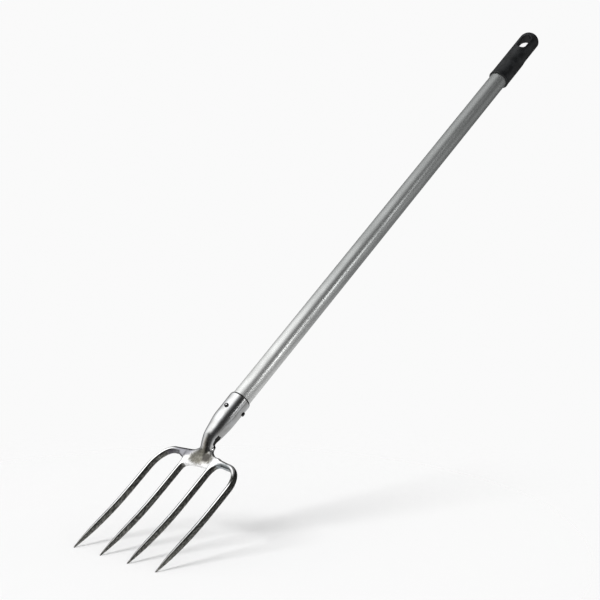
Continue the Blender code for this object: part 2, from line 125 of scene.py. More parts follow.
# Neck stations: share of the neck's height, share of the set-back, width over the waist's, half depth.
NECK_SECTIONS = (
    (0.743, 0.05, 0.0040, 0.0140),
    (0.584, 0.06, 0.0024, 0.0127),
    (0.425, 0.09, 0.0008, 0.0110),
    (0.283, 0.30, 0.0000, 0.0092),
    (0.159, 0.58, 0.0000, 0.0078),
    (0.053, 0.80, 0.0002, 0.0068),
    (-0.062, 0.92, 0.0006, 0.0056),
    (-0.195, 1.00, 0.0012, 0.0042),
)
# Foot that flares from the neck into the web: height over the shoulders' root, half width to the
# left, half width to the right, and how far its ridge stands out of the web's front.
NECK_FLARE = (
    (0.0200, 0.0102, 0.0096, 0.0100),
    (0.0145, 0.0148, 0.0106, 0.0082),
    (0.0100, 0.0212, 0.0130, 0.0066),
    (0.0060, 0.0255, 0.0180, 0.0052),
    (0.0020, 0.0250, 0.0225, 0.0038),
    (-0.0040, 0.0250, 0.0235, 0.0024),
    (-0.0110, 0.0240, 0.0235, 0.0012),
    (-0.0180, 0.0220, 0.0220, 0.0002),
)
FLARE_SINK = 0.0003
# The rounded edge of the socket's mouth.
MOUTH_EDGE_WIDTH = 0.0014
MOUTH_EDGE_HEIGHT = 0.0036

TUBE_RADIUS = TUBE_DIAMETER / 2
TUBE_BORE_RADIUS = TUBE_RADIUS - TUBE_WALL
SOCKET_BORE_RADIUS = TUBE_RADIUS + FIT_GAP
SOCKET_RADIUS = SOCKET_BORE_RADIUS + SOCKET_WALL
NECK_SPAN = HEAD_HEIGHT - SOCKET_STRAIGHT - SHOULDER_ROOT_HEIGHT
TUBE_FOOT = HEAD_HEIGHT - TUBE_IN_SOCKET
GRIP_FOOT = HEAD_HEIGHT + TUBE_SHOWN
TUBE_TOP = GRIP_FOOT + TUBE_IN_GRIP
GRIP_TOP = GRIP_FOOT + GRIP_LENGTH
GRIP_BORE_RADIUS = TUBE_RADIUS + FIT_GAP
GRIP_RADIUS = GRIP_BORE_RADIUS + GRIP_WALL

# Fineness of the surfaces seen in the render.
NECK_SIDES = 72
NECK_STEPS_BETWEEN = 4
TINE_STATIONS = 70
TINE_CROWDING = 1.4
SHOULDER_STATIONS = 16
CORNER_STATIONS = 24
BAR_EDGE_STEPS = 5
WEB_CURVE_STEPS = 10
HOLLOW_SIDES = 64
HOLLOW_RINGS = 40
FLARE_STEPS = 24
MOUTH_EDGE_STEPS = 8
DOME_STEPS = 24
SLOT_ARC_STEPS = 20
CROWN_STEPS = 10
TURNED_SIDES = 128
RIVET_SIDES = 40
# Points nearer to each other than this are one point.
WELD_DISTANCE = 0.00001
# Edges that turn more than this stay sharp in the shading.
SHARP_EDGE_DEGREES = 40.0

# How the head and the grip are melted into one surface.
HEAD_VOXEL = 0.00065
GRIP_VOXEL = 0.0006
SMOOTH_FACTOR = 0.5
HEAD_SMOOTH_STEPS = 3
GRIP_SMOOTH_STEPS = 6
WEB_SMOOTH_STEPS = 80
WEB_REGAIN = 0.0003
WEB_SMOOTH_LOW = 0.166
WEB_SMOOTH_HIGH = 0.244
WEB_SMOOTH_FADE = 0.014

# Camera, fitted to the photograph.
CAMERA_PLACE = (1.6493, -1.2301, -0.6424)
CAMERA_AIM = (-0.01405, -0.01897, 0.47846)
CAMERA_ROLL = 39.208
CAMERA_LENS = 96.25
CAMERA_SENSOR = 36.0
CAMERA_CLIP = (0.05, 50.0)

# Patterns of the finishes: stretch along X, Y and Z, scale, and detail.
STEEL_PATCHES = ((1.0, 1.0, 0.6), 90.0, 4.0)
STEEL_BRUSHING = ((1.0, 1.0, 0.03), 1800.0, 3.0)
STEEL_GRAIN = ((1.0, 1.0, 1.0), 620.0, 3.0)
STEEL_SPECKLE = ((1.0, 1.0, 0.6), 480.0, 5.0)
RAW_SPOTS = ((1.0, 1.0, 1.0), 700.0, 4.0)
TUBE_CLOUDS = ((1.0, 1.0, 0.35), 55.0, 2.0)
TUBE_LINES = ((1.0, 1.0, 0.01), 620.0, 2.0)
TUBE_GRAIN = ((1.0, 1.0, 0.5), 420.0, 3.0)
PLASTIC_CLOUDS = ((1.0, 1.0, 0.6), 120.0, 4.0)
PLASTIC_GRAIN = ((1.0, 1.0, 1.0), 1500.0, 2.0)
RIVET_SCUFFS = ((1.0, 1.0, 1.0), 900.0, 4.0)
# Between which of a pattern's values its first colour gives way to the second.
PATCH_BORDER = (0.35, 0.70)
DARK_SIDE_BORDER = (0.40, 0.66)
PATINA_BORDER = (0.36, 0.68)
TUBE_BORDER = (0.30, 0.72)
PLASTIC_BORDER = (0.40, 0.75)
RIVET_BORDER = (0.40, 0.72)
ROUGHNESS_BORDER = (0.30, 0.75)
# Height in metres and strength of the bumps.
BRUSHING_BUMP = (0.00003, 0.25)
STEEL_GRAIN_BUMP = (0.00010, 0.35)
RAW_BUMP = (0.0002, 0.5)
LINES_BUMP = (0.00003, 0.12)
TUBE_GRAIN_BUMP = (0.00006, 0.08)
PLASTIC_BUMP = (0.00006, 0.30)
RIVET_BUMP = (0.00004, 0.25)

# Plain finishes under the patterns: colour, roughness, and how metallic.
STEEL = ((0.62, 0.62, 0.62), 0.20, 1.0)
# Unpolished steel painted near-black as shade, in the neck's hollows and on the socket's mouth edge.
UNPOLISHED_SHADE_STEEL = ((0.030, 0.029, 0.028), 0.62, 0.6)
TUBE_METAL = ((0.58, 0.59, 0.60), 0.36, 0.80)
GRIP_PLASTIC = ((0.010, 0.011, 0.012), 0.36, 0.0)
PLUG_PLASTIC = ((0.05, 0.05, 0.05), 0.55, 0.0)
DARK_RIVET = ((0.050, 0.050, 0.050), 0.30, 1.0)
BRIGHT_PIN = ((0.78, 0.78, 0.78), 0.16, 1.0)
# Pairs of colours that a pattern, or a fade, goes between.
UPPER_STEEL = ((0.66, 0.67, 0.68), (0.52, 0.52, 0.51))
WORN_STEEL = ((0.96, 0.96, 0.96), (0.86, 0.86, 0.85))
EARTHY_STEEL = ((0.20, 0.20, 0.19), (0.46, 0.46, 0.45))
DARKER_BACK_STEEL = ((0.26, 0.26, 0.26), (0.46, 0.46, 0.45))
# Dark speckled steel on the bars' sides, and painted shade on the tines' left edges.
DARK_SIDES_AND_EDGE_SHADE = ((0.036, 0.036, 0.033), (0.15, 0.148, 0.136))
PATINA = ((0.15, 0.145, 0.118), (0.26, 0.25, 0.22))
# A painted dark reflection that carries the neck's dark stripe into the web, and a paler patch.
PAINTED_DARK_REFLECTION = ((0.040, 0.038, 0.036), (0.10, 0.095, 0.085))
PALE_PATCH = ((0.30, 0.29, 0.27), (0.54, 0.53, 0.50))
# Painted shade on the neck's left side and on the left shoulder's top.
PAINTED_SHADE_STEEL = ((0.26, 0.26, 0.285), (0.36, 0.36, 0.385))
BLUISH_STEEL = ((0.24, 0.265, 0.275), (0.36, 0.39, 0.40))
# Painted shade: black round the neck's hollows.
HOLLOW_SHADE_BLACK = ((0.010, 0.010, 0.010), (0.022, 0.021, 0.020))
# Spots of that steel, painted near-black as shade too.
UNPOLISHED_SHADE_SPOTS = ((0.014, 0.014, 0.014), (0.06, 0.058, 0.055))
# Painted shade under the shoulders, on the left and on the right.
FLAT_UNDER_SHADE = ((0.050, 0.047, 0.054), (0.15, 0.165, 0.175))
TURNING_UNDER_SHADE = ((0.090, 0.085, 0.095), (0.46, 0.50, 0.52))
UPPER_TUBE_DULLER = ((0.595, 0.612, 0.607), (0.460, 0.475, 0.470))
LOWER_TUBE_BRIGHTER = ((0.85, 0.86, 0.85), (0.71, 0.72, 0.71))
# Paler patches and darker scuffs: what the plain colour is multiplied by, and what is added.
PLASTIC_PALER = (1.9, 0.002)
RIVET_DARKER = (0.72, 0.0)
# Roughness of the polished fronts and of the dark sides, and ranges of the uneven finishes.
STEEL_ROUGHNESS = (0.17, 0.38)
RAW_ROUGHNESS = (0.50, 0.75)
TUBE_ROUGHNESS = (0.28, 0.42)
# How much smoother and rougher than its plain roughness a finish gets.
PLASTIC_UNEVEN = (-0.06, 0.10)
RIVET_UNEVEN = (-0.05, 0.12)

# Zones of the head's front: middle and radii in X and Z, and the fade of the border. The web's zone is
# unpolished, its dark zone is a painted dark reflection, and the shoulder's zone is painted shade.
WEB_ZONE = ((0.0010, 0.1908), (0.0248, 0.0126), (0.85, 1.75))
WEB_DARK_REFLECTION_ZONE = ((0.0118, 0.1930), (0.0080, 0.0078), (0.6, 1.9))
WEB_PALE_ZONE = ((0.0130, 0.1825), (0.0075, 0.0042), (0.5, 1.9))
SHOULDER_ZONE = ((-0.0400, 0.1960), (0.0230, 0.0085), (0.7, 1.9))
UNDER_SHOULDER_ZONE = ((0.0490, 0.1845), (0.0170, 0.0056), (0.6, 1.7))
ZONE_RAGGED = 0.8
# Heights between which a finish fades. The tube goes from brighter near the head to duller towards the
# grip.
TUBE_BRIGHTER_FADE = (0.32, 0.58)
BRIGHT_FOOT_FADE = (0.060, 0.150)
BRIGHT_TOP_FADE = (0.206, 0.224)
DULL_TIP_FADE = (0.006, 0.075)
DARK_SIDE_FADE = (0.186, 0.196)
LEFT_EDGE_FADE = (0.170, 0.179)
NECK_SIDE_FOOT_FADE = (0.199, 0.206)
NECK_SIDE_TOP_FADE = (0.226, 0.245)
RIM_FOOT_FADE = (0.171, 0.176)
RIM_TOP_FADE = (0.188, 0.194)
# The same from left to right, about a tine's middle or the head's.
TINE_MIDDLE_FADE = (-0.0006, 0.0006)
HEAD_MIDDLE_FADE = (-0.02, 0.02)
BEYOND_INNER_TINE_FADE = (0.030, 0.036)
INNER_TINE_FADE = (0.0270, 0.0285)
RIM_RIGHT_FADE = (0.010, 0.014)
# The steel round the neck's hollows, painted black as shade: in Y, in Y plus Z, in Z, and from the middle
# in X.
HOLLOW_RIM_FRONT_FADE = (0.0002, 0.0012)
HOLLOW_RIM_SLANT_FADE = (0.2200, 0.2210)
HOLLOW_RIM_TOP_FADE = (0.2270, 0.2280)
HOLLOW_RIM_INNER_FADE = (0.0030, 0.0040)
# How far a face has turned, along one axis, while one finish gives way to another.
SIDE_FACING = (0.34, 0.72)
FRONT_FACING = (-0.45, -0.15)
BACK_FACING = (0.10, 0.50)
UNDER_FACING = (-0.55, -0.20)
UNDERSIDE_TURNING = (-0.92, -0.55)
NECK_LEFT_FACING = (-0.50, -0.12)
RIM_DOWN_FACING = (-0.45, -0.12)
RIM_LEFT_FACING = (-0.35, -0.10)

# The floor holds the line of the tips and leans as the photograph's does.
FLOOR_LEAN = 54.5
FLOOR_SIZE = 9.0
FLOOR_COLOUR = (0.90, 0.90, 0.90)
# Distances from the tips between which the floor fades, to the eye and in metal.
FLOOR_SEEN_FADE = (0.28, 0.80)
FLOOR_MIRRORED_FADE = (1.5, 2.6)
# How bright the floor is in metal near the tips and far from them, and where it changes.
FLOOR_MIRRORED = (0.56, 0.19)
FLOOR_MIRRORED_CHANGE = (0.45, 1.50)
# What it has more of that under the head.
FLOOR_UNDER_GLOW = 0.90
FLOOR_UNDER_FADE = (0.17, 0.30)

# Daylight and the key light.
WHITE = (1.0, 1.0, 1.0)
BACKGROUND_LEVEL = 0.955
SKY_LEVEL = 0.642
SUN_LEVEL = 1.70
SUN_WIDTH = 30.0
SUN_TRAVEL = (0.37, 0.926, -0.07)

# What metal mirrors of the studio round the tool, in grey levels.
# Azimuth in degrees from the front (-Y) towards +X, level above the horizon, level below it.
ROOM_BANDS = (
    (-180.0, 0.32, 0.30),
    (-128.0, 0.20, 0.16),
    (-100.0, 0.28, 0.18),
    (-76.0, 0.58, 0.30),
    (-54.0, 1.30, 0.85),
    (-34.0, 1.75, 0.95),
    (-14.0, 1.90, 0.40),
    (0.0, 1.90, 0.11),
    (12.0, 1.60, 0.06),
    (23.0, 0.70, 0.05),
    (34.0, 0.18, 0.04),
    (46.0, 0.06, 0.04),
    (58.0, 0.035, 0.04),
    (76.0, 0.05, 0.05),
    (89.0, 0.13, 0.13),
    (102.0, 0.56, 0.44),
    (116.0, 0.92, 0.70),
    (150.0, 0.60, 0.50),
    (180.0, 0.32, 0.30),
)
BRIGHTEST_BAND = max(level for _, level, _ in ROOM_BANDS)
# Heights of the mirrored direction between which the lower levels give way to the upper ones.
HORIZON_BLEND = (-0.22, 0.14)
# Heights between which the upper levels dim, and what is left of them at the top.
ROOM_FADE = (0.38, 0.59)
ROOM_TOP_SHARE = 0.13
# The same towards the ground, and the tint there.
ROOM_LOW_FADE = (-0.60, -0.28)
ROOM_LOW_SHARE = 0.14
ROOM_LOW_TINT = (1.0, 0.90, 0.76)

# Where the tube mirrors the strip light to the camera, set by comparing pictures: the height, and
# how far to the right of the tube's middle, as a share of the tube's radius.
HIGHLIGHT_PLACES = (
    (0.27, 0.30),
    (0.64, 0.22),
    (0.83, 0.03),
    (0.96, 0.05),
)
# The strip light that only metal mirrors, and its glow at the foot, in the middle and at the top.
STRIP_AWAY = 0.5
STRIP_WIDTH = 0.100
STRIP_FOOT_GLOW = 1.9
STRIP_GLOW = 3.0
STRIP_TOP_GLOW = 0.5
STRIP_FOOT_FADE = (0.46, 0.68)
STRIP_TOP_FADE = (0.75, 1.12)


def placed(name, data):
    """A new object in the scene."""
    made = bpy.data.objects.new(name, data)
    bpy.context.scene.collection.objects.link(made)
    return made


def mesh_from(name, bm):
    mesh = bpy.data.meshes.new(name)
    bm.to_mesh(mesh)
    bm.free()
    return mesh


def piece_from_bmesh(name, bm):
    bmesh.ops.recalc_face_normals(bm, faces=bm.faces)
    return placed(name, mesh_from(name, bm))


def final_mesh(made):
    """What an object's curve or modifiers come to."""
    bpy.context.view_layer.update()
    evaluated = made.evaluated_get(bpy.context.evaluated_depsgraph_get())
    return bpy.data.meshes.new_from_object(evaluated)


def baked(made):
    """Turns an object's modifiers into its mesh."""
    mesh = final_mesh(made)
    old = made.data
    made.modifiers.clear()
    made.data = mesh
    if old.users == 0:
        bpy.data.meshes.remove(old)
    return made


def combine(target, others, operation):
    """One exact Boolean with each of the others, which are then removed."""
    for other in others:
        step = target.modifiers.new(operation, "BOOLEAN")
        step.operation = operation
        step.solver = "EXACT"
        step.material_mode = "TRANSFER"
        step.object = other
        baked(target)
        bpy.data.objects.remove(other, do_unlink=True)
    return target


def loft(name, rings):
    """A closed solid through rings of as many points each."""
    bm = bmesh.new()
    loops = [[bm.verts.new(point) for point in ring] for ring in rings]
    count = len(rings[0])
    for lower, upper in zip(loops, loops[1:]):
        for index in range(count):
            following = (index + 1) % count
            bm.faces.new((lower[index], lower[following], upper[following], upper[index]))
    bm.faces.new(loops[0])
    bm.faces.new(loops[-1])
    return piece_from_bmesh(name, bm)


def turned(name, profile, sides):
    """A closed profile of (radius, height) points, run round the Z axis."""
    bm = bmesh.new()
    points = [bm.verts.new((radius, 0.0, height)) for radius, height in profile]
    for index in range(len(points)):
        bm.edges.new((points[index], points[(index + 1) % len(points)]))
    made = piece_from_bmesh(name, bm)
    screw = made.modifiers.new("Turn", "SCREW")
    screw.axis = "Z"
    screw.steps = sides
    screw.render_steps = sides
    screw.use_merge_vertices = True
    screw.merge_threshold = WELD_DISTANCE
    baked(made)
    bm = bmesh.new()
    bm.from_mesh(made.data)
    bmesh.ops.recalc_face_normals(bm, faces=bm.faces)
    bm.to_mesh(made.data)
    bm.free()
    return made


def smooth_between(before, start, end, after, share):
    """A curve through start and end that leans with the stations on either side."""
    lead_in = (end - before) / 2
    lead_out = (after - start) / 2
    square = share * share
    cube = square * share
    return (
        start * (2 * cube - 3 * square + 1)
        + lead_in * (cube - 2 * square + share)
        + end * (3 * square - 2 * cube)
        + lead_out * (cube - square)
    )


def refined(stations, steps):
    """More stations between the given ones, along smooth curves."""
    finer = []
    for index in range(len(stations) - 1):
        before = stations[max(index - 1, 0)]
        start = stations[index]
        end = stations[index + 1]
        after = stations[min(index + 2, len(stations) - 1)]
        for step in range(steps):
            share = step / steps
            values = zip(before, start, end, after)
            finer.append([smooth_between(a, b, c, d, share) for a, b, c, d in values])
    finer.append(list(stations[-1]))
    return finer


def neck_loft():
    """The socket's outside and the swan neck, run past the mouth and trimmed there later."""
    low = SOCKET_RADIUS - SOCKET_TAPER
    straight_end = HEAD_HEIGHT - SOCKET_STRAIGHT
    stations = [
        (HEAD_HEIGHT + CUT_OVER, 0.0, SOCKET_RADIUS, SOCKET_RADIUS),
        (HEAD_HEIGHT, 0.0, SOCKET_RADIUS, SOCKET_RADIUS),
        (HEAD_HEIGHT - SOCKET_STRAIGHT / 2, 0.0, (SOCKET_RADIUS + low) / 2, (SOCKET_RADIUS + low) / 2),
        (straight_end, 0.0, low, low),
    ]
    for up, share, spread, half_depth in NECK_SECTIONS:
        half_width = NECK_WAIST_WIDTH / 2 + spread
        height = SHOULDER_ROOT_HEIGHT + NECK_SPAN * up
        stations.append((height, HEAD_SET_BACK * share, half_width, half_depth))
    rings = []
    for height, centre_y, half_width, half_depth in refined(stations, NECK_STEPS_BETWEEN):
        ring = []
        for index in range(NECK_SIDES):
            angle = 2 * math.pi * index / NECK_SIDES
            x = half_width * math.sin(angle)
            y = centre_y - half_depth * math.cos(angle)
            ring.append(Vector((x, y, height)))
        rings.append(ring)
    return loft("fork_head_fine", rings)


def bar_ring(centre, across, half_width, half_depth, upper=BAR_EDGES, lower=BAR_EDGES):
    """A rounded rectangle square to a path in the XZ plane; each front edge has its own radii."""
    deep = Vector((0.0, 1.0, 0.0))
    plain = (min(BAR_EDGES[0], half_width), min(BAR_EDGES[1], half_depth))
    corners = ((1.0, -1.0, upper), (1.0, 1.0, plain), (-1.0, 1.0, plain), (-1.0, -1.0, lower))
    ring = []
    for quarter, (side_x, side_y, radii) in enumerate(corners):
        radius_x, radius_y = radii
        corner_x = side_x * (half_width - radius_x)
        corner_y = side_y * (half_depth - radius_y)
        for step in range(BAR_EDGE_STEPS + 1):
            turn = math.pi / 2 * (quarter - 1 + step / BAR_EDGE_STEPS)
            x = corner_x + radius_x * math.cos(turn)
            y = corner_y + radius_y * math.sin(turn)
            ring.append(centre + across * x + deep * y)
    return ring


def quarter_turn(steps):
    """Angles from 0 to a right angle."""
    return [math.pi / 2 * step / steps for step in range(steps + 1)]


def between(first, second, share):
    return tuple(a + (b - a) * share for a, b in zip(first, second))


def tine_centre_y(height):
    """The tines run straight down from the web, and slant towards the front below the bend."""
    below = TINE_BEND_HEIGHT - height
    lean = (below + math.hypot(below, TINE_BEND_SOFTNESS)) / 2
    return HEAD_SET_BACK - TINE_BEND_SLOPE * lean


def tine_size(height):
    """Share of a tine's full width and depth that is left at a height."""
    if height >= TINE_TAPER_LENGTH:
        return 1.0
    point = TINE_POINT / TINE_WIDTH
    return 1.0 - (1.0 - point) * (1.0 - height / TINE_TAPER_LENGTH) ** TINE_TAPER_POWER


def root_flare(height, top):
    """How much wider an inner tine's half gets towards its root."""
    share = max(0.0, (height - ROOT_FLARE_FROM) / (top - ROOT_FLARE_FROM))
    return ROOT_FLARE * share ** 2


def tine_run(x, top, across, flared=False):
    """Rings of one tine from its top to its tip, closer together near the tip."""
    rings = []
    for step in range(TINE_STATIONS + 1):
        height = top * (1.0 - step / TINE_STATIONS) ** TINE_CROWDING
        share = tine_size(height)
        centre = Vector((x, tine_centre_y(height), height))
        half_width = TINE_WIDTH / 2 * share
        if flared:
            half_width += root_flare(height, top)
        edges = between((0.0, 0.0), BAR_EDGES, share)
        rings.append(bar_ring(centre, across, half_width, TINE_DEPTH / 2 * share, edges, edges))
    return rings


def shoulder_loft(name, side, rise, droop, corner_width, rounded_top, rounded_foot):
    """From inside the web, out along the shoulder and round the corner to the outer tine."""
    corner_x = OUTER_TINE_X - corner_width
    root_z = SHOULDER_ROOT_HEIGHT + rise
    corner_z = root_z - droop - SHOULDER_CORNER_HEIGHT
    lean = math.atan2(droop, corner_x - SHOULDER_ROOT)
    upper_edge = (rounded_top, SHOULDER_UPPER_EDGE_DEPTH)
    lower_edge = (rounded_foot, SHOULDER_LOWER_EDGE_DEPTH)
    rings = []
    for step in range(SHOULDER_STATIONS):
        along = step / SHOULDER_STATIONS
        x = SHOULDER_ROOT + (corner_x - SHOULDER_ROOT) * along
        z = root_z - droop * along
        across = Vector((side * math.sin(lean), 0.0, math.cos(lean)))
        centre = Vector((side * x, HEAD_SET_BACK, z))
        half_height = SHOULDER_BAR_HEIGHT / 2
        rings.append(bar_ring(centre, across, half_height, TINE_DEPTH / 2, upper_edge, lower_edge))
    for step in range(CORNER_STATIONS + 1):
        along = step / CORNER_STATIONS
        turn = lean + (math.pi / 2 - lean) * along
        x = corner_x + corner_width * math.sin(math.pi / 2 * along)
        z = corner_z + SHOULDER_CORNER_HEIGHT * math.cos(math.pi / 2 * along)
        across = Vector((side * math.sin(turn), 0.0, math.cos(turn)))
        half_width = (SHOULDER_BAR_HEIGHT + (TINE_WIDTH - SHOULDER_BAR_HEIGHT) * along) / 2
        centre = Vector((side * x, tine_centre_y(z), z))
        upper = between(upper_edge, BAR_EDGES, along)
        lower = between(lower_edge, BAR_EDGES, along)
        rings.append(bar_ring(centre, across, half_width, TINE_DEPTH / 2, upper, lower))
    rings += tine_run(side * OUTER_TINE_X, corner_z, Vector((side, 0.0, 0.0)))[1:]
    return loft(name, rings)


def web_corners():
    """Corners of the web's outline, as (x, z), down the right half and up the left one."""
    inner = TINE_SPACING / 2 - TINE_WIDTH / 2 + WEB_SINK
    outer = TINE_SPACING / 2 + TINE_WIDTH / 2 - WEB_SINK
    gap_top = SHOULDER_ROOT_HEIGHT - WEB_HEIGHT
    neck = NECK_WAIST_WIDTH / 2 - WEB_SINK
    root = SHOULDER_ROOT_HEIGHT
    halves = {}
    for name, side, rise, *_ in SHOULDERS:
        half = [(neck + beyond, root + rise + up) for beyond, up in WEB_TO_NECK]
        half += [(outer + beyond, root + rise + up) for beyond, up in WEB_TO_SHOULDER]
        half.append((TINE_SPACING / 2, root - WEB_FOOT))
        half += [(inner - inward, gap_top - drop) for inward, drop in WEB_TO_GAP]
        half.append((inner / 3, gap_top))
        halves[name] = [(side * x, z) for x, z in half]
    return halves["right"] + halves["left"][::-1]


def web_plate():
    """The web before it is melted into the rest: a flat plate with a smooth outline."""
    points = web_corners()
    curve = bpy.data.curves.new("web_outline", "CURVE")
    curve.dimensions = "2D"
    curve.fill_mode = "BOTH"
    curve.extrude = WEB_THICKNESS / 2
    curve.resolution_u = WEB_CURVE_STEPS
    spline = curve.splines.new("BEZIER")
    spline.bezier_points.add(len(points) - 1)
    for bezier, (x, z) in zip(spline.bezier_points, points):
        bezier.co = (x, z, 0.0)
        bezier.handle_left_type = "AUTO"
        bezier.handle_right_type = "AUTO"
    spline.use_cyclic_u = True
    outline = placed("web_outline", curve)
    mesh = final_mesh(outline)
    bpy.data.objects.remove(outline, do_unlink=True)
    bm = bmesh.new()
    bm.from_mesh(mesh)
    stand = Matrix.Translation((0.0, HEAD_SET_BACK, 0.0)) @ Matrix.Rotation(math.radians(90.0), 4, "X")
    bmesh.ops.transform(bm, matrix=stand, verts=bm.verts)
    bmesh.ops.remove_doubles(bm, verts=bm.verts, dist=WELD_DISTANCE)
    return piece_from_bmesh("web_plate", bm)


def ellipsoid(name, centre, radii):
    bm = bmesh.new()
    bmesh.ops.create_uvsphere(bm, u_segments=HOLLOW_SIDES, v_segments=HOLLOW_RINGS, radius=1.0)
    bmesh.ops.scale(bm, vec=radii, verts=bm.verts)
    bmesh.ops.translate(bm, vec=centre, verts=bm.verts)
    return piece_from_bmesh(name, bm)


def neck_flare():
    """A low bell that spreads the neck's foot over the web's front."""
    web_front = HEAD_SET_BACK - WEB_THICKNESS / 2
    rings = []
    for height, left, right, ridge in refined(NECK_FLARE, NECK_STEPS_BETWEEN):
        z = SHOULDER_ROOT_HEIGHT + height
        ring = [Vector((-left, HEAD_SET_BACK, z))]
        for step in range(2 * FLARE_STEPS + 1):
            share = step / FLARE_STEPS - 1.0
            x = share * (left if share < 0.0 else right)
            bell = (1.0 - share * share) ** 2
            ring.append(Vector((x, web_front + FLARE_SINK - (ridge + FLARE_SINK) * bell, z)))
        ring.append(Vector((right, HEAD_SET_BACK, z)))
        rings.append(ring)
    return loft("neck_flare", rings)


def neck_hollows(finish):
    height = SHOULDER_ROOT_HEIGHT + NECK_SPAN * HOLLOW_SHARE_UP
    radii = (HOLLOW_RADIUS_ACROSS, HOLLOW_RADIUS_DEEP, HOLLOW_RADIUS_HIGH)
    hollows = []
    for name, side in (("left_hollow", -1.0), ("right_hollow", 1.0)):
        centre = (side * HOLLOW_SPREAD, HOLLOW_FRONT + HOLLOW_RADIUS_DEEP, height)
        hollow = ellipsoid(name, centre, radii)
        hollow.data.materials.append(finish)
        hollows.append(hollow)
    return hollows


def remesh(made, voxel):
    step = made.modifiers.new("Remesh", "REMESH")
    step.mode = "VOXEL"
    step.voxel_size = voxel
    return baked(made)


def add_smoothing(made, steps):
    smoothing = made.modifiers.new("Smooth", "SMOOTH")
    smoothing.factor = SMOOTH_FACTOR
    smoothing.iterations = steps
    return smoothing


def smooth_web(made):
    """Melts the neck, the web and the shoulders into one another, and leaves the tines alone."""
    group = made.vertex_groups.new(name="web")
    for vert in made.data.vertices:
        height = vert.co.z
        rise = (height - WEB_SMOOTH_LOW) / WEB_SMOOTH_FADE
        fall = (WEB_SMOOTH_HIGH - height) / WEB_SMOOTH_FADE
        weight = max(0.0, min(1.0, rise, fall))
        group.add((vert.index,), weight, "REPLACE")
    add_smoothing(made, WEB_SMOOTH_STEPS).vertex_group = group.name
    regain = made.modifiers.new("Regain", "DISPLACE")
    regain.strength = WEB_REGAIN
    regain.mid_level = 0.0
    regain.vertex_group = group.name
    return baked(made)


def keep_inside(made):
    """Takes back what smoothing has pushed past the head's outer faces."""
    reach = OUTER_TINE_X + TINE_WIDTH / 2
    back = HEAD_SET_BACK + TINE_DEPTH / 2
    for vert in made.data.vertices:
        vert.co.x = max(-reach, min(reach, vert.co.x))
        vert.co.y = min(back, vert.co.y)


def socket_cut(finish):
    """Opens the socket's bore and trims its mouth to a rounded edge."""
    foot = TUBE_FOOT - FIT_GAP
    top = HEAD_HEIGHT + CUT_OVER * 2
    wide = SOCKET_RADIUS + CUT_OVER * 2
    profile = [(0.0, top), (wide, top), (wide, HEAD_HEIGHT - MOUTH_EDGE_HEIGHT)]
    for turn in quarter_turn(MOUTH_EDGE_STEPS):
        radius = SOCKET_RADIUS - MOUTH_EDGE_WIDTH * (1.0 - math.cos(turn))
        profile.append((radius, HEAD_HEIGHT - MOUTH_EDGE_HEIGHT * (1.0 - math.sin(turn))))
    profile += [
        (SOCKET_BORE_RADIUS, HEAD_HEIGHT),
        (SOCKET_BORE_RADIUS, foot),
        (0.0, foot - SOCKET_FLOOR),
    ]
    made = turned("socket_cut", profile, TURNED_SIDES)
    made.data.materials.append(finish)
    return made


def make_head(finish, unpolished_shade_finish):
    head = neck_loft()
    pieces = [web_plate(), neck_flare()]
    for name, side, rise, *shape in SHOULDERS:
        pieces.append(shoulder_loft(name + "_shoulder", side, rise, *shape))
        top = SHOULDER_ROOT_HEIGHT + rise + INNER_TINE_INTO_SHOULDER
        inner = tine_run(side * TINE_SPACING / 2, top, Vector((1.0, 0.0, 0.0)), flared=True)
        pieces.append(loft(name + "_inner_tine", inner))
    combine(head, pieces, "UNION")
    remesh(head, HEAD_VOXEL)
    smooth_web(head)
    add_smoothing(head, HEAD_SMOOTH_STEPS)
    keep_inside(baked(head))
    dress(head, finish)
    combine(head, neck_hollows(unpolished_shade_finish) + [socket_cut(unpolished_shade_finish)], "DIFFERENCE")
    return head


def make_tube():
    edge = TUBE_WALL / 3
    profile = (
        (TUBE_RADIUS - edge, TUBE_TOP),
        (TUBE_RADIUS, TUBE_TOP - edge),
        (TUBE_RADIUS, TUBE_FOOT + edge),
        (TUBE_RADIUS - edge, TUBE_FOOT),
        (TUBE_BORE_RADIUS, TUBE_FOOT),
        (TUBE_BORE_RADIUS, TUBE_TOP),
    )
    return turned("shaft_tube_fine", profile, TURNED_SIDES)


def grip_profile():
    """Half of the grip's section, from its domed end down its outside and up its bore."""
    dome_start = GRIP_TOP - GRIP_DOME_HEIGHT
    profile = []
    for turn in quarter_turn(DOME_STEPS):
        height = dome_start + GRIP_DOME_HEIGHT * math.cos(turn)
        profile.append((GRIP_RADIUS * math.sin(turn), height))
    profile += [
        (GRIP_RADIUS, GRIP_FOOT + GRIP_RIM_LENGTH),
        (GRIP_RADIUS + GRIP_RIM_FLARE * GRIP_RIM_KNEE, GRIP_FOOT + GRIP_RIM_LENGTH * GRIP_RIM_KNEE),
        (GRIP_RADIUS + GRIP_RIM_FLARE, GRIP_FOOT + GRIP_RIM_FLARE),
        (GRIP_RADIUS, GRIP_FOOT),
        (GRIP_BORE_RADIUS, GRIP_FOOT),
        (GRIP_BORE_RADIUS, TUBE_TOP + FIT_GAP),
        (0.0, TUBE_TOP + FIT_GAP),
    ]
    return profile


def turned_with_grip(points):
    turn = Matrix.Rotation(math.radians(GRIP_TURN), 3, "Z")
    return [turn @ Vector(point) for point in points]


def grip_back_cut():
    """What the flat back of the grip's end, and the ramp down to the round grip, take away."""
    foot = GRIP_TOP - GRIP_FLAT_LENGTH
    top = GRIP_TOP + CUT_OVER
    reach = GRIP_RADIUS + CUT_OVER
    ramp_foot = foot - GRIP_RAMP_LENGTH
    outline = ((GRIP_BACK_FLAT, top), (GRIP_BACK_FLAT, foot), (reach, ramp_foot), (reach, top))
    rings = []
    for x in (-reach, reach):
        rings.append(turned_with_grip([(x, y, z) for y, z in outline]))
    return loft("grip_back_cut", rings)


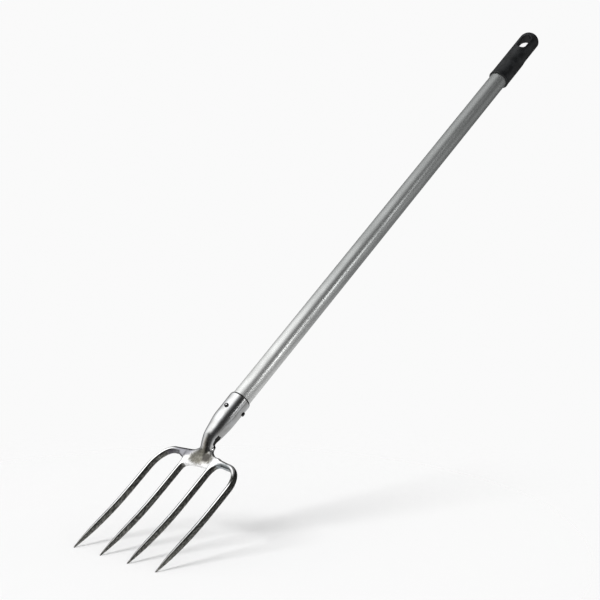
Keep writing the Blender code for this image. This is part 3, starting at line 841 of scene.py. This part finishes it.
def slot_cut():
    """The hanging slot, wider at the grip's back than at its front."""
    front = -GRIP_RADIUS
    back = GRIP_BACK_FLAT
    centre_z = GRIP_TOP - SLOT_BELOW_TOP
    rings = []
    for y in (front - CUT_OVER, back + CUT_OVER):
        share = (y - front) / (back - front)
        width, length = between(SLOT_FRONT, SLOT_BACK, share)
        radius = width / 2
        straight = length / 2 - radius
        outline = []
        for end in (1.0, -1.0):
            for step in range(SLOT_ARC_STEPS + 1):
                turn = math.pi * step / SLOT_ARC_STEPS
                x = end * radius * math.cos(turn)
                z = end * (straight + radius * math.sin(turn))
                outline.append((x, y, centre_z + z))
        rings.append(turned_with_grip(outline))
    return loft("slot_cut", rings)


def make_grip():
    grip = turned("end_grip_fine", grip_profile(), TURNED_SIDES)
    combine(grip, [grip_back_cut(), slot_cut()], "DIFFERENCE")
    remesh(grip, GRIP_VOXEL)
    add_smoothing(grip, GRIP_SMOOTH_STEPS)
    return baked(grip)


def rivet_frame(turn_degrees, drop):
    """Stands a rivet on the socket's wall, with its own Z pointing outwards."""
    turn = math.radians(turn_degrees)
    outward = Vector((math.sin(turn), -math.cos(turn), 0.0))
    rotation = outward.to_track_quat("Z", "Y").to_matrix().to_4x4()
    return Matrix.Translation((0.0, 0.0, HEAD_HEIGHT - drop)) @ rotation


def make_rivet(name, turn, drop):
    """The set rivet's domed head and the shank under it."""
    seat = SOCKET_RADIUS + FIT_GAP
    head = RIVET_HEAD_DIAMETER / 2
    bore = MANDREL_DIAMETER / 2 + FIT_GAP
    profile = []
    for tilt in quarter_turn(CROWN_STEPS):
        radius = bore + (head - bore) * math.sin(tilt)
        profile.append((radius, seat + RIVET_HEAD_HEIGHT * math.cos(tilt)))
    profile += [
        (RIVET_SHANK_DIAMETER / 2, seat),
        (RIVET_SHANK_DIAMETER / 2, TUBE_BORE_RADIUS),
        (bore, TUBE_BORE_RADIUS),
    ]
    rivet = turned(name + "_rivet_fine", profile, RIVET_SIDES)
    rivet.data.transform(rivet_frame(turn, drop))
    return rivet


def new_material(name, colour, roughness, metallic):
    """A plain material. A pattern linked to one of its sockets later takes that value's place."""
    made = bpy.data.materials.new(name)
    made.use_nodes = True
    shader = made.node_tree.nodes["Principled BSDF"]
    shader.inputs["Base Color"].default_value = (*colour, 1.0)
    shader.inputs["Roughness"].default_value = roughness
    shader.inputs["Metallic"].default_value = metallic
    return made, made.node_tree, shader


def add_node(tree, kind, inputs, output, **settings):
    """One output of a new node. An input is a number, some numbers, or a socket to link."""
    made = tree.nodes.new(kind)
    for name, value in settings.items():
        setattr(made, name, value)
    for name, value in inputs.items():
        if isinstance(value, bpy.types.NodeSocket):
            tree.links.new(value, made.inputs[name])
        else:
            made.inputs[name].default_value = value
    return made.outputs[output]


def opaque(colour):
    """A colour as an input takes it. A socket stays as it is."""
    return (*colour, 1.0) if isinstance(colour, tuple) else colour


def stretched_noise(tree, stretch, scale, detail):
    """Noise over the object's own coordinates, drawn out along an axis by unequal scaling."""
    place = add_node(tree, "ShaderNodeTexCoord", {}, "Object")
    mapped = add_node(tree, "ShaderNodeMapping", {"Vector": place, "Scale": stretch}, "Vector")
    return add_node(tree, "ShaderNodeTexNoise", {"Vector": mapped, "Scale": scale, "Detail": detail}, "Fac")


def remap(tree, value, fade, low, high):
    """Goes smoothly from low to high while the value goes through the fade."""
    inputs = {"Value": value, "From Min": fade[0], "From Max": fade[1], "To Min": low, "To Max": high}
    return add_node(tree, "ShaderNodeMapRange", inputs, "Result", interpolation_type="SMOOTHSTEP")


def rising(tree, value, fade):
    return remap(tree, value, fade, 0.0, 1.0)


def falling(tree, value, fade):
    return remap(tree, value, fade, 1.0, 0.0)


def mix_colours(tree, value, first, second):
    """The first colour where the value is 0 and the second where it is 1."""
    inputs = {"Factor": value, "A": opaque(first), "B": opaque(second)}
    return add_node(tree, "ShaderNodeMix", inputs, "Result", data_type="RGBA")


def mix_shaders(tree, value, first, second):
    return add_node(tree, "ShaderNodeMixShader", {0: value, 1: first, 2: second}, "Shader")


def two_way_math(tree, operation, first, second):
    return add_node(tree, "ShaderNodeMath", {0: first, 1: second}, "Value", operation=operation)


def add_bump(tree, shader, value, bump, before=None):
    height, strength = bump
    inputs = {"Height": value, "Distance": height, "Strength": strength}
    if before is not None:
        inputs["Normal"] = before
    normal = add_node(tree, "ShaderNodeBump", inputs, "Normal")
    tree.links.new(normal, shader.inputs["Normal"])
    return normal


def product(tree, first, *others):
    for other in others:
        first = two_way_math(tree, "MULTIPLY", first, other)
    return first


def coordinate(tree, axis, kind="Object"):
    """X, Y or Z of a point, of the way that it faces (Normal) or of a direction (Generated)."""
    place = add_node(tree, "ShaderNodeTexCoord", {}, kind)
    return add_node(tree, "ShaderNodeSeparateXYZ", {"Vector": place}, axis)


def facing(tree, axis):
    return coordinate(tree, axis, "Normal")


def away_from_middle(tree):
    return two_way_math(tree, "ABSOLUTE", coordinate(tree, "X"), 0.0)


def left_edge_shade_mask(tree):
    """1 on the left half of each tine, below the web, where shade is painted."""
    reach = TINE_SPACING / 2
    over = two_way_math(tree, "ADD", coordinate(tree, "X"), reach)
    from_tine = add_node(tree, "ShaderNodeMath", {0: over, 1: reach, 2: -reach}, "Value", operation="WRAP")
    left = falling(tree, from_tine, TINE_MIDDLE_FADE)
    return product(tree, left, falling(tree, coordinate(tree, "Z"), LEFT_EDGE_FADE))


def side_mask(tree):
    """1 on the sides of the bars and on the tines' left edges, where shade is painted, 0 on the fronts and
    on the neck.
    """
    across = two_way_math(tree, "ABSOLUTE", facing(tree, "X"), 0.0)
    low = falling(tree, coordinate(tree, "Z"), DARK_SIDE_FADE)
    sides = product(tree, rising(tree, across, SIDE_FACING), low)
    return two_way_math(tree, "MAXIMUM", sides, left_edge_shade_mask(tree))


def zone_mask(tree, zone, speckle):
    """1 inside an ellipse on the head's front, with a soft ragged border."""
    centre, radii, fade = zone
    away = product(tree, speckle, ZONE_RAGGED)
    for axis, middle, radius in zip("XZ", centre, radii):
        from_centre = two_way_math(tree, "ADD", coordinate(tree, axis), -middle)
        share = two_way_math(tree, "DIVIDE", from_centre, radius)
        away = two_way_math(tree, "ADD", away, product(tree, share, share))
    front = falling(tree, facing(tree, "Y"), FRONT_FACING)
    return product(tree, falling(tree, away, fade), front)


def under_mask(tree):
    """1 on the shoulders' under faces beyond the inner tines, where shade is painted."""
    under = falling(tree, facing(tree, "Z"), UNDER_FACING)
    return product(tree, under, rising(tree, away_from_middle(tree), BEYOND_INNER_TINE_FADE))


def neck_left_shade_mask(tree):
    """1 on the neck's left side, between the web and the socket, where shade is painted."""
    height = coordinate(tree, "Z")
    leftwards = falling(tree, facing(tree, "X"), NECK_LEFT_FACING)
    over_web = rising(tree, height, NECK_SIDE_FOOT_FADE)
    return product(tree, leftwards, over_web, falling(tree, height, NECK_SIDE_TOP_FADE))


def hollow_shade_mask(tree):
    """1 on the steel round the neck's two side hollows that is painted black as shade; it tapers to their
    feet.
    """
    back = coordinate(tree, "Y")
    height = coordinate(tree, "Z")
    return product(
        tree,
        rising(tree, back, HOLLOW_RIM_FRONT_FADE),
        rising(tree, two_way_math(tree, "ADD", back, height), HOLLOW_RIM_SLANT_FADE),
        falling(tree, height, HOLLOW_RIM_TOP_FADE),
        rising(tree, away_from_middle(tree), HOLLOW_RIM_INNER_FADE),
    )


def rim_mask(tree):
    """1 on the web's rounded lower rim, where the steel is matt so that its pale colour shows as a painted
    highlight.
    """
    height = coordinate(tree, "Z")
    leftwards = falling(tree, facing(tree, "X"), RIM_LEFT_FACING)
    right_half = rising(tree, coordinate(tree, "X"), RIM_RIGHT_FADE)
    down = falling(tree, facing(tree, "Z"), RIM_DOWN_FACING)
    return product(
        tree,
        two_way_math(tree, "MAXIMUM", down, product(tree, leftwards, right_half)),
        falling(tree, away_from_middle(tree), INNER_TINE_FADE),
        rising(tree, height, RIM_FOOT_FADE),
        falling(tree, height, RIM_TOP_FADE),
    )


def paint(tree, shader, colour, roughness):
    tree.links.new(colour, shader.inputs["Base Color"])
    tree.links.new(roughness, shader.inputs["Roughness"])


def uneven_finish(name, plain, colours, roughness, pattern, border, bump, fine=None):
    """A finish that changes colour and roughness along one pattern, with a bump of it or finer."""
    made, tree, shader = new_material(name, *plain)
    noise = stretched_noise(tree, *pattern)
    colour = mix_colours(tree, rising(tree, noise, border), *colours)
    paint(tree, shader, colour, remap(tree, noise, ROUGHNESS_BORDER, *roughness))
    add_bump(tree, shader, stretched_noise(tree, *fine) if fine else noise, bump)
    return made


def unpolished_shade_steel_finish():
    """Unpolished steel inside the neck's hollows and the bore and on the socket's mouth edge, painted
    near-black as shade.
    """
    surface = (RAW_SPOTS, PATCH_BORDER, RAW_BUMP)
    return uneven_finish("unpolished_shade_steel", UNPOLISHED_SHADE_STEEL, UNPOLISHED_SHADE_SPOTS, RAW_ROUGHNESS, *surface)


def varied_finish(name, plain, shift, uneven, *surface):
    """A finish that varies about its plain colour and roughness."""
    colour, roughness, _ = plain
    factor, more = shift
    shifted = tuple(channel * factor + more for channel in colour)
    range_of_roughness = [roughness + change for change in uneven]
    return uneven_finish(name, plain, (colour, shifted), range_of_roughness, *surface)


def plastic_finish(name, plain):
    """Moulded plastic with a fine grain and faintly uneven sheen."""
    surface = (PLASTIC_CLOUDS, PLASTIC_BORDER, PLASTIC_BUMP, PLASTIC_GRAIN)
    return varied_finish(name, plain, PLASTIC_PALER, PLASTIC_UNEVEN, *surface)


def rivet_finish(name, plain):
    """The metal of a rivet or its mandrel, a little scuffed."""
    surface = (RIVET_SCUFFS, RIVET_BORDER, RIVET_BUMP)
    return varied_finish(name, plain, RIVET_DARKER, RIVET_UNEVEN, *surface)


def bare_steel(tree, patches, speckle):
    """Steel that work has worn bright at the front, darker on faces turned to the back, and earthy at the
    tips.
    """
    height = coordinate(tree, "Z")
    patchy = rising(tree, patches, PATCH_BORDER)
    over_foot = rising(tree, height, BRIGHT_FOOT_FADE)
    bright = product(tree, over_foot, falling(tree, height, BRIGHT_TOP_FADE))
    upper = mix_colours(tree, patchy, *UPPER_STEEL)
    colour = mix_colours(tree, bright, upper, mix_colours(tree, patchy, *WORN_STEEL))
    earthy = mix_colours(tree, speckle, *EARTHY_STEEL)
    colour = mix_colours(tree, falling(tree, height, DULL_TIP_FADE), colour, earthy)
    at_back = rising(tree, facing(tree, "Y"), BACK_FACING)
    darker_back = mix_colours(tree, patches, *DARKER_BACK_STEEL)
    return mix_colours(tree, product(tree, at_back, bright), colour, darker_back)


def underside_shade(tree):
    """Painted shade under the shoulders: dark on the left, and paler to the right and where it turns
    upright.
    """
    to_right = rising(tree, coordinate(tree, "X"), HEAD_MIDDLE_FADE)
    turned_up = rising(tree, facing(tree, "Z"), UNDERSIDE_TURNING)
    flat = mix_colours(tree, to_right, *FLAT_UNDER_SHADE)
    return mix_colours(tree, turned_up, flat, mix_colours(tree, to_right, *TURNING_UNDER_SHADE))


def patina_and_dark_reflection(tree, speckle):
    """The unpolished middle of the web, with a paler patch and a painted dark reflection in it."""
    colour = mix_colours(tree, rising(tree, speckle, PATINA_BORDER), *PATINA)
    for zone, overlay in ((WEB_PALE_ZONE, PALE_PATCH), (WEB_DARK_REFLECTION_ZONE, PAINTED_DARK_REFLECTION)):
        overlayed = mix_colours(tree, speckle, *overlay)
        colour = mix_colours(tree, zone_mask(tree, zone, speckle), colour, overlayed)
    return colour


def steel_finish():
    """Polished steel with faint brushing along the tool, small dull patches and dark sides, and with
    painted shade and a painted dark reflection on parts of the head.
    """
    made, tree, shader = new_material("polished_steel", *STEEL)
    patches = stretched_noise(tree, *STEEL_PATCHES)
    speckle = stretched_noise(tree, *STEEL_SPECKLE)
    colour = bare_steel(tree, patches, speckle)
    sides = side_mask(tree)
    soft = mix_colours(tree, patches, *PAINTED_SHADE_STEEL)
    bluish = mix_colours(tree, patches, *BLUISH_STEEL)
    side_speckle = rising(tree, speckle, DARK_SIDE_BORDER)
    layers = (
        (under_mask(tree), underside_shade(tree)),
        (neck_left_shade_mask(tree), soft),
        (zone_mask(tree, SHOULDER_ZONE, speckle), soft),
        (zone_mask(tree, UNDER_SHOULDER_ZONE, speckle), bluish),
        (zone_mask(tree, WEB_ZONE, speckle), patina_and_dark_reflection(tree, speckle)),
        (hollow_shade_mask(tree), mix_colours(tree, speckle, *HOLLOW_SHADE_BLACK)),
        (sides, mix_colours(tree, side_speckle, *DARK_SIDES_AND_EDGE_SHADE)),
    )
    for mask, layer in layers:
        colour = mix_colours(tree, mask, colour, layer)
    paint(tree, shader, colour, remap(tree, sides, (0.0, 1.0), *STEEL_ROUGHNESS))
    # The rim's matt steel shows its pale colour as a painted highlight.
    polished = two_way_math(tree, "SUBTRACT", 1.0, rim_mask(tree))
    tree.links.new(polished, shader.inputs["Metallic"])
    first = add_bump(tree, shader, stretched_noise(tree, *STEEL_BRUSHING), BRUSHING_BUMP)
    add_bump(tree, shader, stretched_noise(tree, *STEEL_GRAIN), STEEL_GRAIN_BUMP, first)
    return made


def tube_finish():
    """Satin drawn tube: long faint lines and cloudy patches."""
    made, tree, shader = new_material("satin_tube", *TUBE_METAL)
    clouds = stretched_noise(tree, *TUBE_CLOUDS)
    cloudy = rising(tree, clouds, TUBE_BORDER)
    near_head = falling(tree, coordinate(tree, "Z"), TUBE_BRIGHTER_FADE)
    upper_duller = mix_colours(tree, cloudy, *UPPER_TUBE_DULLER)
    colour = mix_colours(tree, near_head, upper_duller, mix_colours(tree, cloudy, *LOWER_TUBE_BRIGHTER))
    paint(tree, shader, colour, remap(tree, clouds, ROUGHNESS_BORDER, *TUBE_ROUGHNESS))
    first = add_bump(tree, shader, stretched_noise(tree, *TUBE_LINES), LINES_BUMP)
    add_bump(tree, shader, stretched_noise(tree, *TUBE_GRAIN), TUBE_GRAIN_BUMP, first)
    return made


def dress(piece, finish):
    """Gives a piece one material."""
    piece.data.materials.clear()
    piece.data.materials.append(finish)
    return piece


def stand_in(piece, node):
    """Lets a fine surface replace its solid. It rides on the one body that there is."""
    piece.data.shade_smooth()
    piece.data.set_sharp_from_angle(angle=math.radians(SHARP_EDGE_DEGREES))
    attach(piece, "root")
    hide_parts(node)


def empty_tree(owner):
    """The node tree of a material or a world, with nothing in it."""
    owner.use_nodes = True
    owner.node_tree.nodes.clear()
    return owner.node_tree


def emission(tree, strength):
    return add_node(tree, "ShaderNodeEmission", {"Strength": strength}, "Emission")


def show(tree, kind, shader):
    """Links a shader to the output of a material or a world."""
    output = tree.nodes.new(kind)
    tree.links.new(shader, output.inputs["Surface"])


def floor_finish():
    """Pale matt floor, seen from above only, that fades into the background far away, and that glows in
    metal as a painted reflection, brightest under the head.
    """
    made = bpy.data.materials.new("pale_floor")
    tree = empty_tree(made)
    matt = add_node(tree, "ShaderNodeBsdfDiffuse", {"Color": opaque(FLOOR_COLOUR)}, "BSDF")
    place = add_node(tree, "ShaderNodeTexCoord", {}, "Object")
    away = add_node(tree, "ShaderNodeVectorMath", {0: place}, "Value", operation="LENGTH")
    broad = remap(tree, away, FLOOR_MIRRORED_CHANGE, *FLOOR_MIRRORED)
    under = remap(tree, away, FLOOR_UNDER_FADE, FLOOR_UNDER_GLOW, 0.0)
    # The floor's painted reflection: a glow that only metal sees.
    mirrored = emission(tree, two_way_math(tree, "ADD", broad, under))
    in_metal = add_node(tree, "ShaderNodeLightPath", {}, "Is Glossy Ray")
    surface = mix_shaders(tree, in_metal, matt, mirrored)
    not_mirrored = two_way_math(tree, "SUBTRACT", 1.0, in_metal)
    seen = product(tree, rising(tree, away, FLOOR_SEEN_FADE), not_mirrored)
    faded = two_way_math(tree, "MAXIMUM", seen, rising(tree, away, FLOOR_MIRRORED_FADE))
    below = add_node(tree, "ShaderNodeNewGeometry", {}, "Backfacing")
    hidden = two_way_math(tree, "MAXIMUM", faded, below)
    clear = add_node(tree, "ShaderNodeBsdfTransparent", {}, "BSDF")
    show(tree, "ShaderNodeOutputMaterial", mix_shaders(tree, hidden, surface, clear))
    return made


def make_floor():
    bm = bmesh.new()
    bmesh.ops.create_grid(bm, x_segments=1, y_segments=1, size=FLOOR_SIZE / 2)
    floor = placed("floor", mesh_from("floor", bm))
    floor.rotation_euler = (math.radians(FLOOR_LEAN), 0.0, 0.0)
    floor.location = (0.0, tine_centre_y(0.0), 0.0)
    floor.data.materials.append(floor_finish())


def mirrored_place(height, share):
    """Where the camera's line of sight ends up after the tube has mirrored it at a highlight."""
    camera = Vector(CAMERA_PLACE)
    towards = Vector((camera.x, camera.y, 0.0)).normalized()
    rightwards = Vector((0.0, 0.0, 1.0)).cross(towards)
    outwards = towards * math.sqrt(1.0 - share * share) + rightwards * share
    spot = outwards * TUBE_RADIUS + Vector((0.0, 0.0, height))
    sight = (spot - camera).normalized()
    return spot + sight.reflect(outwards) * STRIP_AWAY


def strip_finish():
    glow = bpy.data.materials.new("strip_glow")
    tree = empty_tree(glow)
    height = coordinate(tree, "Z")
    at_foot = remap(tree, height, STRIP_FOOT_FADE, STRIP_FOOT_GLOW, STRIP_GLOW)
    at_top = remap(tree, height, STRIP_TOP_FADE, STRIP_GLOW, STRIP_TOP_GLOW)
    show(tree, "ShaderNodeOutputMaterial", emission(tree, two_way_math(tree, "MINIMUM", at_foot, at_top)))
    return glow


def make_strip():
    """A strip of light along the handle, bent so that its mirror image falls on the highlight."""
    bm = bmesh.new()
    rows = []
    for height, share in HIGHLIGHT_PLACES:
        middle = mirrored_place(height, share)
        inward = Vector((-middle.x, -middle.y, 0.0)).normalized()
        across = inward.cross(Vector((0.0, 0.0, 1.0))) * STRIP_WIDTH / 2
        rows.append((bm.verts.new(middle - across), bm.verts.new(middle + across)))
    for low, high in zip(rows, rows[1:]):
        bm.faces.new((low[0], low[1], high[1], high[0]))
    strip = piece_from_bmesh("strip_light", bm)
    strip.data.materials.append(strip_finish())
    strip.visible_camera = False
    strip.visible_diffuse = False
    strip.visible_shadow = False


def band_ramp(tree, share, column):
    """Grey levels round the room, from one column of the bands."""
    ramp = tree.nodes.new("ShaderNodeValToRGB")
    ramp.color_ramp.interpolation = "B_SPLINE"
    stops = ramp.color_ramp.elements
    while len(stops) < len(ROOM_BANDS):
        stops.new(0.5)
    for stop, band in zip(stops, ROOM_BANDS):
        grey = band[column] / BRIGHTEST_BAND
        stop.position = band[0] / 360.0 + 0.5
        stop.color = (grey, grey, grey, 1.0)
    tree.links.new(share, ramp.inputs["Fac"])
    return ramp.outputs["Color"]


def room_levels(tree):
    """How bright the room is in a mirrored direction, and its tint there."""
    right, back, height = [coordinate(tree, axis, "Generated") for axis in "XYZ"]
    turn = two_way_math(tree, "ARCTAN2", right, product(tree, back, -1.0))
    share = two_way_math(tree, "ADD", product(tree, turn, 0.5 / math.pi), 0.5)
    upper = band_ramp(tree, share, 1)
    lower = band_ramp(tree, share, 2)
    around = mix_colours(tree, rising(tree, height, HORIZON_BLEND), lower, upper)
    top = BRIGHTEST_BAND * ROOM_TOP_SHARE
    fade = remap(tree, height, ROOM_FADE, BRIGHTEST_BAND, top)
    deep = remap(tree, height, ROOM_LOW_FADE, ROOM_LOW_SHARE, 1.0)
    return product(tree, around, fade, deep), mix_colours(tree, deep, ROOM_LOW_TINT, WHITE)


def backdrop(tree, level, tint=WHITE):
    return add_node(tree, "ShaderNodeBackground", {"Color": opaque(tint), "Strength": level}, "Background")


def make_world():
    """A plain background to the eye, even daylight on the object, and the room in metal."""
    world = bpy.data.worlds.new("studio")
    bpy.context.scene.world = world
    tree = empty_tree(world)
    names = ("Is Glossy Ray", "Is Camera Ray", "Is Transmission Ray")
    glossy, camera, through = [add_node(tree, "ShaderNodeLightPath", {}, name) for name in names]
    room = backdrop(tree, *room_levels(tree))
    light = mix_shaders(tree, glossy, backdrop(tree, SKY_LEVEL), room)
    direct = two_way_math(tree, "MAXIMUM", camera, through)
    show(tree, "ShaderNodeOutputWorld", mix_shaders(tree, direct, light, backdrop(tree, BACKGROUND_LEVEL)))


def make_sun():
    data = bpy.data.lights.new("key", "SUN")
    data.energy = SUN_LEVEL
    data.angle = math.radians(SUN_WIDTH)
    sun = placed("key", data)
    sun.rotation_euler = Vector(SUN_TRAVEL).to_track_quat("-Z", "Y").to_euler()
    sun.visible_glossy = False


def make_camera():
    data = bpy.data.cameras.new("camera")
    data.sensor_width = CAMERA_SENSOR
    data.lens = CAMERA_LENS
    data.clip_start, data.clip_end = CAMERA_CLIP
    camera = placed("camera", data)
    aim = Vector(CAMERA_AIM) - Vector(CAMERA_PLACE)
    roll = Matrix.Rotation(math.radians(CAMERA_ROLL), 3, "Z")
    turn = aim.to_track_quat("-Z", "Y").to_matrix() @ roll
    camera.matrix_world = Matrix.Translation(CAMERA_PLACE) @ turn.to_4x4()
    bpy.context.scene.camera = camera


def make_pieces():
    """Every piece, either built finer or, where it hardly shows, as the solid with a finish."""
    head = make_head(steel_finish(), unpolished_shade_steel_finish())
    stand_in(head, "fork_head")
    tube = dress(make_tube(), tube_finish())
    stand_in(tube, "shaft_tube")
    grip = dress(make_grip(), plastic_finish("black_grip", GRIP_PLASTIC))
    stand_in(grip, "end_grip")
    dark = rivet_finish("rivet_dark", DARK_RIVET)
    bright = rivet_finish("mandrel_bright", BRIGHT_PIN)
    for name, turn, drop in RIVETS:
        rivet = dress(make_rivet(name, turn, drop), dark)
        stand_in(rivet, name + "_rivet")
        dress(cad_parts[name + "_mandrel"], bright)
    dress(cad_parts["shaft_plug"], plastic_finish("plug", PLUG_PLASTIC))


def main():
    make_pieces()
    make_floor()
    make_world()
    make_sun()
    make_strip()
    make_camera()


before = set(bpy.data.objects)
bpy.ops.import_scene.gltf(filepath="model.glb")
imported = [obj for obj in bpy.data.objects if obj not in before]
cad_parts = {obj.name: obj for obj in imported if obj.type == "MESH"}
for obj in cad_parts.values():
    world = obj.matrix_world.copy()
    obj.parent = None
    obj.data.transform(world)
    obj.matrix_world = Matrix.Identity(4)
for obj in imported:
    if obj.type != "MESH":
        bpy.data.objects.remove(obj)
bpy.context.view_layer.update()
main()
bpy.context.view_layer.update()
bpy.context.scene.view_settings.view_transform = "Standard"
